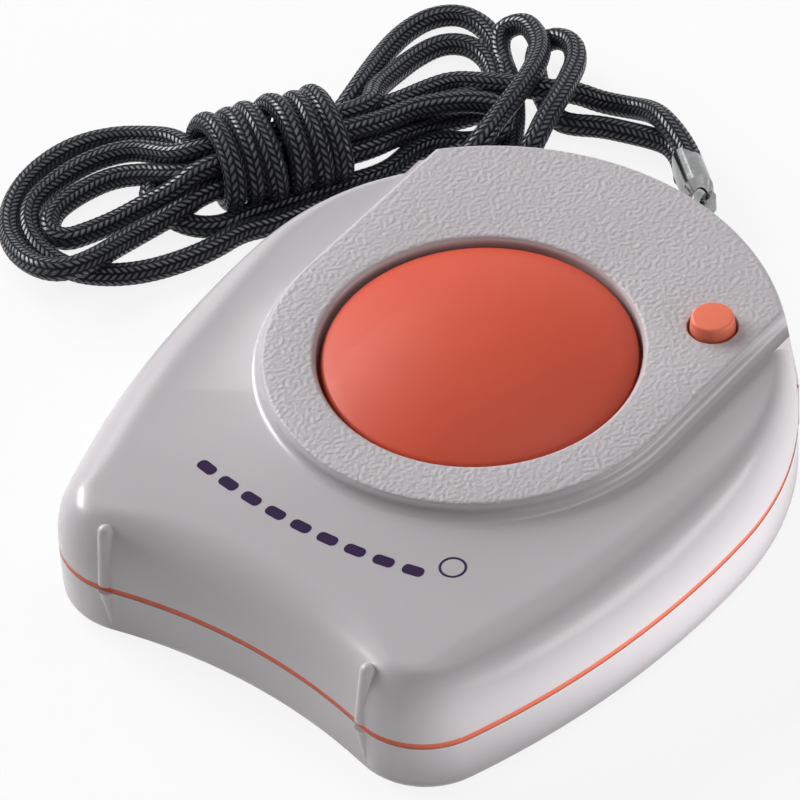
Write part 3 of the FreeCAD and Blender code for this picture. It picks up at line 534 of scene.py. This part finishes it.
def tube(name, path, radius, columns, stitch, paint):
    """Closed tube along path, raised where the braid's stitches are, with two sides for each column.
    Its UV map holds millimetres along it and share round it."""
    valley, sag = 0.965, 0.045
    count, sides = len(path), columns * 2
    ways = [(path[min(i + 1, count - 1)] - path[max(i - 1, 0)]).normalized() for i in range(count)]
    side = ways[0].orthogonal().normalized()
    points, lengths, run = [], [], 0.0
    for i, (place, way) in enumerate(zip(path, ways)):
        side = (side - way * side.dot(way)).normalized()
        other = way.cross(side)
        if i:
            run += (place - path[i - 1]).length
        lengths.append(run / MM)
        for j in range(sides):
            turn = 2 * math.pi * j / sides
            sink = 0.5 + 0.5 * math.cos(2 * math.pi * (run / stitch + 0.5 * (j // 2 % 2)))
            lift = radius * (1 - sag * sink if j % 2 else valley)
            points.append(place + (side * math.cos(turn) + other * math.sin(turn)) * lift)
    faces, uv = [], []
    for i in range(count - 1):
        for j in range(sides):
            k = (j + 1) % sides
            faces.append((i * sides + j, i * sides + k, (i + 1) * sides + k, (i + 1) * sides + j))
            a, b = j / sides, (j + 1) / sides
            uv += [(lengths[i], a), (lengths[i], b), (lengths[i + 1], b), (lengths[i + 1], a)]
    for end, base, flip in ((0, 0, True), (count - 1, (count - 1) * sides, False)):
        ring = [base + j for j in range(sides)]
        faces.append(tuple(reversed(ring)) if flip else tuple(ring))
        uv += [(lengths[end], 0.0)] * sides
    return mesh_object(name, points, faces, paint, uv)


def arc_points(a, b, c, steps):
    """Points along the round arc through three points of a plane."""
    d = 2 * (a[0] * (b[1] - c[1]) + b[0] * (c[1] - a[1]) + c[0] * (a[1] - b[1]))
    sa, sb, sc = [p[0] ** 2 + p[1] ** 2 for p in (a, b, c)]
    x = (sa * (b[1] - c[1]) + sb * (c[1] - a[1]) + sc * (a[1] - b[1])) / d
    y = (sa * (c[0] - b[0]) + sb * (a[0] - c[0]) + sc * (b[0] - a[0])) / d
    radius = math.hypot(a[0] - x, a[1] - y)
    start, end = [math.atan2(p[1] - y, p[0] - x) for p in (a, c)]
    turns = [start + (end - start) * i / steps for i in range(steps + 1)]
    return [(x + radius * math.cos(t), y + radius * math.sin(t)) for t in turns]


def dash_tree():
    """Nodes that print equal rounded dashes along a line."""
    tree = bpy.data.node_groups.new("dash_row", "GeometryNodeTree")
    tree.is_modifier = True
    sockets = [("Geometry", "Geometry"), ("Count", "Int"), ("Length", "Float"), ("Width", "Float"),
               ("Film", "Float"), ("Ink", "Material")]
    for name, kind in sockets:
        tree.interface.new_socket(name, in_out="INPUT", socket_type="NodeSocket" + kind)
    tree.interface.new_socket("Geometry", in_out="OUTPUT", socket_type="NodeSocketGeometry")

    def node(kind, settings, **links):
        made = tree.nodes.new(kind)
        for key, value in settings.items():
            setattr(made, key, value)
        for key, value in links.items():
            target = made.inputs[key.replace("_", " ")]
            if isinstance(value, bpy.types.NodeSocket):
                tree.links.new(value, target)
            else:
                target.default_value = value
        return made.outputs

    given = node("NodeGroupInput", {})
    corner = tree.nodes.new("ShaderNodeMath")
    corner.operation = "MULTIPLY"
    corner.inputs[1].default_value = 0.42
    tree.links.new(given["Width"], corner.inputs[0])
    line = node("GeometryNodeMeshToCurve", {}, Mesh=given["Geometry"])
    spots = node("GeometryNodeCurveToPoints", {"mode": "COUNT"}, Curve=line[0], Count=given["Count"])
    shape = node("GeometryNodeCurvePrimitiveQuadrilateral", {}, Width=given["Length"], Height=given["Width"])
    soft = node("GeometryNodeFilletCurve", {"mode": "POLY"}, Curve=shape[0], Count=6,
                Radius=corner.outputs[0])
    flat = node("GeometryNodeFillCurve", {}, Curve=soft[0])
    solid = node("GeometryNodeExtrudeMesh", {"mode": "FACES"}, Mesh=flat[0], Offset_Scale=given["Film"])
    turn = node("FunctionNodeAlignRotationToVector", {"axis": "X", "pivot_axis": "Z"},
                Vector=spots["Tangent"])
    row = node("GeometryNodeInstanceOnPoints", {}, Points=spots["Points"], Instance=solid[0],
               Rotation=turn[0])
    real = node("GeometryNodeRealizeInstances", {}, Geometry=row[0])
    inked = node("GeometryNodeSetMaterial", {}, Geometry=real[0], Material=given["Ink"])
    node("NodeGroupOutput", {}, Geometry=inked[0])
    return tree


def grow(line, tree, values, name):
    """The plain mesh that a node tree grows on a line of points."""
    data = bpy.data.meshes.new(name + "_line")
    data.from_pydata(line, [(i, i + 1) for i in range(len(line) - 1)], [])
    base = bpy.data.objects.new(name + "_line", data)
    bpy.context.scene.collection.objects.link(base)
    modifier = base.modifiers.new(name, "NODES")
    modifier.node_group = tree
    for item in tree.interface.items_tree:
        if item.in_out == "INPUT" and item.name in values:
            modifier[item.identifier] = values[item.name]
    bpy.context.view_layer.update()
    mesh = bpy.data.meshes.new_from_object(base.evaluated_get(bpy.context.evaluated_depsgraph_get()))
    bpy.data.objects.remove(base)
    bpy.data.meshes.remove(data)
    mesh.name = name
    if not mesh.polygons:
        raise RuntimeError(name + " has no faces")
    piece = bpy.data.objects.new(name, mesh)
    bpy.context.scene.collection.objects.link(piece)
    return piece


def flat_ring(name, x, y, z, inner, outer, film, paint, sides=48):
    """Thin printed ring with rounded shoulders."""
    section = [(inner, 0.0), (inner + film, film), (outer - film, film), (outer, 0.0)]
    points, faces = [], []
    for i in range(sides):
        turn = 2 * math.pi * i / sides
        points += [(x + r * math.cos(turn), y + r * math.sin(turn), z + h) for r, h in section]
        j = (i + 1) % sides
        faces += [(4 * i + k, 4 * i + k + 1, 4 * j + k + 1, 4 * j + k) for k in range(3)]
    return mesh_object(name, points, faces, paint)


class PANIC_OT_stage(bpy.types.Operator):
    """Set the camera, the table and the studio lights"""
    bl_idname = "panic.stage"
    bl_label = "Set the stage"

    def execute(self, context):
        settings = context.scene.panic_stage
        az, el, roll = settings.azimuth, settings.elevation, settings.roll
        back = Vector((math.sin(az) * math.cos(el), -math.cos(az) * math.cos(el), math.sin(el)))
        level = Vector((math.cos(az), math.sin(az), 0.0))
        rise = back.cross(level)
        right = level * math.cos(roll) + rise * math.sin(roll)
        up = rise * math.cos(roll) - level * math.sin(roll)
        data = bpy.data.cameras.new("camera")
        data.lens = settings.lens
        data.sensor_width = 36.0
        data.clip_start, data.clip_end = 0.01, 10.0
        camera = bpy.data.objects.new("camera", data)
        turn = Matrix((right, up, back)).transposed().to_4x4()
        camera.matrix_world = Matrix.Translation(settings.position) @ turn
        context.scene.collection.objects.link(camera)
        context.scene.camera = camera
        self.floor(context)
        self.lights(context)
        context.scene.view_settings.view_transform = "Standard"
        return {"FINISHED"}

    def floor(self, context):
        paint = Paint("table_white", None, Roughness=0.6, Specular_IOR_Level=0.2)
        where = paint.point()[0]
        cloud = paint.noise(where, 3.0)
        paint.feed(Base_Color=paint.mix(cloud, (0.90, 0.90, 0.90), (0.92, 0.92, 0.92)))
        rays = paint.node("ShaderNodeLightPath", {})
        glow = paint.node("ShaderNodeEmission", {}, (1.0, 1.0, 1.0, 1.0), 1.0)
        seen = Socket(paint, rays.outputs["Is Camera Ray"]) + Socket(paint, rays.outputs["Is Glossy Ray"])
        share = seen.least(1.0) * TABLE_GLOW
        blend = paint.node("ShaderNodeMixShader", {}, share)
        paint.tree.links.new(paint.shader.outputs[0], blend.inputs[1])
        paint.tree.links.new(glow.outputs[0], blend.inputs[2])
        paint.tree.links.new(blend.outputs[0], paint.output.inputs[0])
        half, steps = 1.5, 12
        points = [(half * (2 * i / steps - 1), half * (2 * j / steps - 1), 0.0)
                  for j in range(steps + 1) for i in range(steps + 1)]
        faces = [(j * (steps + 1) + i, j * (steps + 1) + i + 1, (j + 1) * (steps + 1) + i + 1,
                  (j + 1) * (steps + 1) + i) for j in range(steps) for i in range(steps)]
        mesh_object("table", points, faces, paint)

    def lights(self, context):
        # Name, target, turn, height, distance, size, power, seen in reflections, lights matt surfaces
        rows = [
            ("key", (0.0, 0.0, 0.008), 177, 24, 2.0, (2.0, 1.0), 58.0, False, True),
            ("shine", (0.0, 0.0, 0.008), 184, 26, 2.0, (1.2, 0.6), 30.0, True, False),
            ("sheen", (0.0, 0.0, 0.008), 162, 34, 2.0, (1.0, 1.0), 7.0, True, False),
            ("right", (0.0, 0.0, 0.008), 24, 9, 0.8, (0.6, 0.2), 1.75, True, True),
            ("top", (0.02, 0.02, 0.008), 50, 75, 0.5, (0.3, 0.3), 0.5, True, True),
            ("glow", (0.060, 0.0, 0.008), 0, -90, 0.0075, (0.048, 0.13), 0.055, False, True),
        ]
        for name, target, turn, height, far, size, power, in_gloss, in_matt in rows:
            turn, height = math.radians(turn), math.radians(height)
            level = math.cos(height)
            way = Vector((math.cos(turn) * level, math.sin(turn) * level, math.sin(height)))
            data = bpy.data.lights.new(name, "AREA")
            data.shape = "RECTANGLE"
            data.size, data.size_y = size
            data.energy = power
            lamp = bpy.data.objects.new(name, data)
            lamp.visible_camera = False
            lamp.visible_glossy = in_gloss
            lamp.visible_diffuse = in_matt
            aim = way.to_track_quat("Z", "Y").to_matrix().to_4x4()
            lamp.matrix_world = Matrix.Translation(Vector(target) + way * far) @ aim
            context.scene.collection.objects.link(lamp)
        world = bpy.data.worlds.new("studio")
        world.use_nodes = True
        tree = world.node_tree
        shine = tree.nodes["Background"]
        shine.inputs[0].default_value = (1.0, 1.0, 1.0, 1.0)
        rays = tree.nodes.new("ShaderNodeLightPath")
        pick = tree.nodes.new("ShaderNodeMapRange")
        pick.inputs["To Min"].default_value = WORLD_FILL
        pick.inputs["To Max"].default_value = WORLD_SEEN
        seen = tree.nodes.new("ShaderNodeMath")
        seen.use_clamp = True
        tree.links.new(rays.outputs["Is Camera Ray"], seen.inputs[0])
        tree.links.new(rays.outputs["Is Glossy Ray"], seen.inputs[1])
        tree.links.new(seen.outputs[0], pick.inputs["Value"])
        tree.links.new(pick.outputs[0], shine.inputs[1])
        context.scene.world = world


class PANIC_OT_cord(bpy.types.Operator):
    """Lay the braided neck cord with its tied hank"""
    bl_idname = "panic.cord"
    bl_label = "Lay the cord"

    def execute(self, context):
        settings = context.scene.panic_cord
        path = spline_points(cord_route(), 14)
        radius = settings.diameter / 2
        cord = tube("neck_cord", path, radius, settings.columns, settings.stitch, cord_paint(context.scene))
        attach(cord, "case")
        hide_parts("cord_leg_far", "cord_leg_near", "cord_hank")
        paint = sleeve_paint()
        dressed("cord_ring", paint, 60.0)
        sleeve = dressed("cord_ferrule", paint, 35.0)
        return {"FINISHED"}


class PANIC_OT_case(bpy.types.Operator):
    """Dress both shells, the seal, the door and the screws"""
    bl_idname = "panic.case"
    bl_label = "Dress the case"

    def execute(self, context):
        settings = context.scene.panic_case
        paint = case_paint(context.scene)
        dressed("upper_shell", paint, 40.0)
        dressed("lower_shell", paint, 40.0)
        dressed("seal_ring", orange_paint("seal_rubber", settings.seam, 0.5))
        dressed("battery_door", door_paint(context.scene), 30.0)
        steel = plain_paint("screw_steel", "spring_steel", (0.42, 0.42, 0.41), 0.35, 1.0)
        dressed("case_screws", steel, 30.0)
        return {"FINISHED"}


class PANIC_OT_buttons(bpy.types.Operator):
    """Dress the large and the small button"""
    bl_idname = "panic.buttons"
    bl_label = "Dress the buttons"

    def execute(self, context):
        settings = context.scene.panic_button
        dressed("panic_button", orange_paint("button_plastic", settings.colour, 0.42), 50.0)
        dressed("cancel_button", orange_paint("cancel_plastic", settings.light, 0.35), 50.0)
        return {"FINISHED"}


class PANIC_OT_marks(bpy.types.Operator):
    """Print the plain dashes and the ring in front of the large button"""
    bl_idname = "panic.marks"
    bl_label = "Print the marks"

    def execute(self, context):
        settings = context.scene.panic_button
        ink = plain_paint("print_ink", None, settings.ink, 0.4, 0.0, 1500.0, 0.000004, shine=0.12)
        shell = frame["nodes"]["upper_shell"].data
        level = max(v.co.z for v in shell.vertices if v.co.y < PLATEAU_BACK * MM)
        row = [(x * MM, y * MM, level) for x, y in arc_points(*DASH_ARC, 40)]
        values = {"Count": settings.dashes, "Length": settings.dash_length, "Width": settings.dash_width,
                  "Film": settings.film, "Ink": ink.material}
        marks = grow(row, dash_tree(), values, "print_dashes")
        outer = settings.ring_size / 2
        x, y = [v * MM for v in RING_PLACE]
        ring = flat_ring("print_ring", x, y, level, outer - RING_LINE * MM, outer, settings.film, ink)
        for piece in (marks, ring):
            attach(piece, "case")
        return {"FINISHED"}


class PANIC_OT_inside(bpy.types.Operator):
    """Paint the board, the switches, the cell and the contacts"""
    bl_idname = "panic.inside"
    bl_label = "Paint the inner parts"

    def execute(self, context):
        black = plain_paint("switch_nylon", "switch_black", (0.022, 0.022, 0.024), 0.5)
        repaint(["panic_switch", "cancel_switch", "panic_plunger", "cancel_plunger", "cell_holder"], black)
        repaint(["controller_chip", "chip_parts"],
                plain_paint("chip_epoxy", "chip_black", (0.035, 0.034, 0.033), 0.55))
        repaint(["circuit_board"], board_paint())
        repaint(["coin_cell", "radio_resonator", "radio_crystal"],
                plain_paint("can_plate", "can_nickel", (0.66, 0.64, 0.60), 0.3, 1.0))
        wire = plain_paint("spring_wire", "spring_steel", (0.55, 0.55, 0.53), 0.3, 1.0)
        repaint(["cell_top_contact", "cell_side_contact"], wire)
        spring = dressed("button_spring", wire, 50.0)
        low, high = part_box("button_spring")
        joints = frame["record"]["behaviour"]["joints"]
        press = [joint for joint in joints if joint["name"] == "press_panic"][0]
        keep = 1 - press["range_m"][1] / (high[2] - low[2])
        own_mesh(spring)
        repaint(["antenna_loop"], plain_paint("antenna_wire", "wire_brass", (0.70, 0.50, 0.25), 0.3, 1.0))
        return {"FINISHED"}


CLASSES = [CaseSettings, ButtonSettings, CordSettings, StageSettings, PANIC_OT_stage, PANIC_OT_cord,
           PANIC_OT_case, PANIC_OT_buttons, PANIC_OT_marks, PANIC_OT_inside]


class PANIC_PT_panel(bpy.types.Panel):
    """Lists the pieces of the panic button"""
    bl_label = "Panic Button"
    bl_idname = "PANIC_PT_panel"
    bl_space_type = "VIEW_3D"
    bl_region_type = "UI"
    bl_category = "Panic Button"

    def draw(self, context):
        layout = self.layout
        for name in ("stage", "cord", "case", "buttons", "marks", "inside"):
            layout.operator("panic." + name)
        for group in ("panic_case", "panic_button", "panic_cord", "panic_stage"):
            settings = getattr(context.scene, group)
            box = layout.box()
            for key in settings.__annotations__:
                box.prop(settings, key)


def register():
    for made in CLASSES + [PANIC_PT_panel]:
        bpy.utils.register_class(made)
    bpy.types.Scene.panic_case = PointerProperty(type=CaseSettings)
    bpy.types.Scene.panic_button = PointerProperty(type=ButtonSettings)
    bpy.types.Scene.panic_cord = PointerProperty(type=CordSettings)
    bpy.types.Scene.panic_stage = PointerProperty(type=StageSettings)


def unregister():
    for group in ("panic_case", "panic_button", "panic_cord", "panic_stage"):
        delattr(bpy.types.Scene, group)
    for made in reversed(CLASSES + [PANIC_PT_panel]):
        bpy.utils.unregister_class(made)


def main():
    register()
    bpy.ops.panic.stage()
    bpy.ops.panic.cord()
    bpy.ops.panic.case()
    bpy.ops.panic.buttons()
    bpy.ops.panic.marks()
    bpy.ops.panic.inside()


if __name__ == "__main__":
    main()
